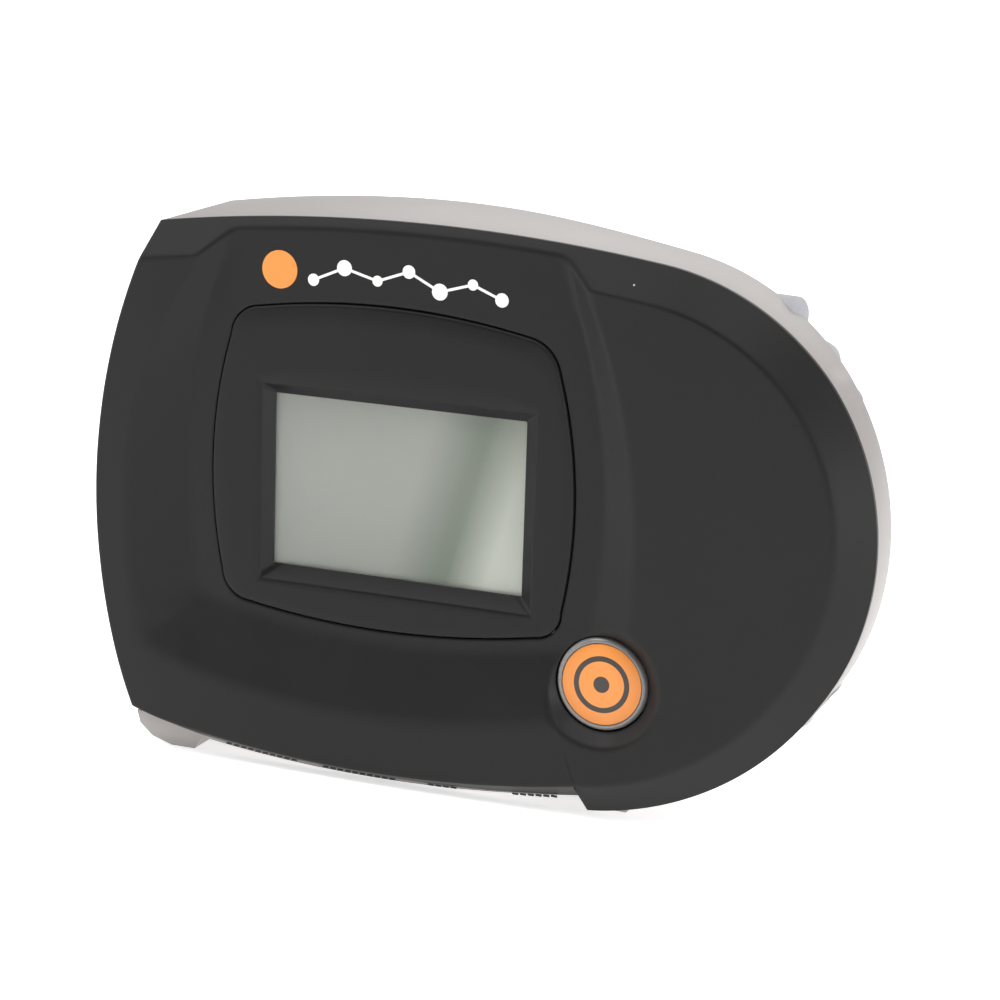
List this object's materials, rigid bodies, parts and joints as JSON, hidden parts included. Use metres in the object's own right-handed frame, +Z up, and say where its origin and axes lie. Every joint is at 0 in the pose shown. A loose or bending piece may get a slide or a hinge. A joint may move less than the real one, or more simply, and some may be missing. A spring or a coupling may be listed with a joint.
{
  "type": "hand controller",
  "caption": "Palm-sized telescope hand controller with a graphic display, one round push button, a ribbed silver back and sockets underneath.",
  "frame": {"origin": "on the plane that the feet stand on, under the middle of the case's box", "axes": "+X to the right across the face, +Y from the face to the back, +Z up"},
  "size_m": [0.1296, 0.0324, 0.0901],
  "materials": {
    "black_plastic": "fine satin texture",
    "bezel_plastic": "satin",
    "lens": "clear",
    "lcd_glass": "grey-green liquid crystal",
    "frame_plastic": "moulded",
    "diffuser": "satin",
    "contact_metal": "plated",
    "socket_plastic": "moulded",
    "board": "solder resist",
    "chip": "moulded",
    "screw_steel": "zinc plated",
    "silver_paint": "silver paint, satin",
    "grip_rubber": "soft matt",
    "button_plastic": "gloss",
    "orange_foil": "satin foil"
  },
  "bodies": {
    "case": {"front_cover": "black_plastic", "display_bezel": "bezel_plastic", "display_lens": "lens", "lcd_panel": "lcd_glass", "lcd_frame": "frame_plastic", "lcd_backlight": "diffuser", "lcd_contacts": "contact_metal", "switch_body": "socket_plastic", "main_board": "board", "board_chips": "chip", "board_capacitors": "chip", "board_screws": "screw_steel", "modular_jack_a": "socket_plastic", "modular_jack_b": "socket_plastic", "jack_contacts_a": "contact_metal", "jack_contacts_b": "contact_metal", "phone_socket": "socket_plastic", "power_socket": "socket_plastic", "power_pin": "screw_steel", "rear_shell": "silver_paint", "case_screws": "screw_steel", "finger_grip": "grip_rubber"},
    "button": {"button_cap": "button_plastic", "button_inlay": "orange_foil"},
    "plunger": {"switch_plunger": "socket_plastic"}
  },
  "joints": [
    {"name": "button_press", "type": "slide", "parent": "case", "child": "button", "axis": [0, 1, 0], "range_m": [0, 0.0008], "stiffness_N_per_m": 2500},
    {"name": "plunger_press", "type": "slide", "parent": "case", "child": "plunger", "axis": [0, 1, 0], "range_m": [0, 0.0008]}
  ],
  "couplings": [
    {"joint": "plunger_press", "follows": "button_press", "ratio": 1}
  ]
}
